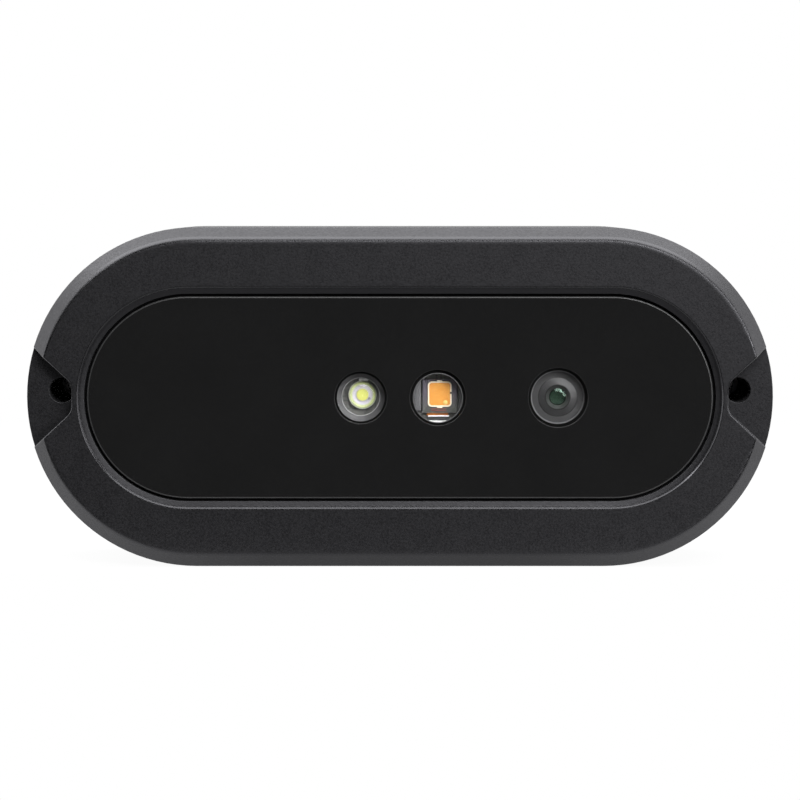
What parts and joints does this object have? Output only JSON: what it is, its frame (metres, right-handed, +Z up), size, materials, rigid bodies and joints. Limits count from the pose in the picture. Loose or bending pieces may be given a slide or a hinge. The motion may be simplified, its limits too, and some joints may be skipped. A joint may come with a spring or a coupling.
{
  "type": "time-of-flight camera",
  "caption": "Stadium-shaped black time-of-flight camera: gloss front panel with apertures for a white LED, an infrared emitter and a lens, and end notches with fixing holes.",
  "frame": {"origin": "centre of the flat rear mounting face", "axes": "+X to the right seen from the front, -Y out of the lens, +Y into the mounting surface, +Z up; stands on its long flat side"},
  "size_m": [0.165, 0.04, 0.075],
  "materials": {
    "housing_black": "fine-grained black powder coat on die-cast aluminium",
    "panel_black": "polished gloss black",
    "clear_glass": "clear, coated",
    "cover_black": "cast aluminium, blackened",
    "seal_rubber": "matt",
    "screw_steel": "zinc plated",
    "board_green": "solder mask",
    "board_grey": "metal-core board",
    "shield_plastic": "moulded, matt",
    "lens_metal": "black anodised",
    "ceramic_package": "ceramic",
    "diffuser_orange": "satin",
    "phosphor_yellow": "matt",
    "terminal_silver": "tinned",
    "chip_black": "moulded",
    "port_metal": "plated",
    "contact_gold": "gold plated",
    "flex_amber": "polyimide"
  },
  "bodies": {
    "root": {"front_housing": "housing_black", "front_panel": "panel_black", "led_window": "clear_glass", "emitter_window": "clear_glass", "lens_window": "clear_glass", "lens_front_element": "clear_glass", "lens_middle_element": "clear_glass", "lens_rear_element": "clear_glass", "bandpass_filter": "clear_glass", "led_lens": "clear_glass", "rear_cover": "cover_black", "heat_spreader": "cover_black", "rear_gasket": "seal_rubber", "panel_seal": "seal_rubber", "thermal_pad": "seal_rubber", "rear_cover_screws": "screw_steel", "heat_spreader_screws": "screw_steel", "main_board_screws": "screw_steel", "sensor_board_screws": "screw_steel", "illumination_screws": "screw_steel", "lens_holder_screws": "screw_steel", "main_board": "board_green", "sensor_board": "board_green", "illumination_board": "board_grey", "led_shroud": "shield_plastic", "emitter_shroud": "shield_plastic", "lens_holder": "shield_plastic", "lens_barrel": "lens_metal", "lens_lock_ring": "lens_metal", "lens_retainer": "lens_metal", "lens_spacer": "lens_metal", "emitter_package": "ceramic_package", "led_package": "ceramic_package", "capacitor_body": "ceramic_package", "emitter_diffuser": "diffuser_orange", "led_phosphor": "phosphor_yellow", "capacitor_terminals": "terminal_silver", "processor": "chip_black", "memory_chips": "chip_black", "tof_sensor": "chip_black", "network_transformer": "chip_black", "power_inductor": "chip_black", "flex_connectors": "chip_black", "usb_insert": "chip_black", "network_jack": "port_metal", "usb_shell": "port_metal", "power_capacitors": "port_metal", "jack_contacts": "contact_gold", "sensor_flex": "flex_amber", "illumination_flex": "flex_amber"}
  },
  "joints": []
}
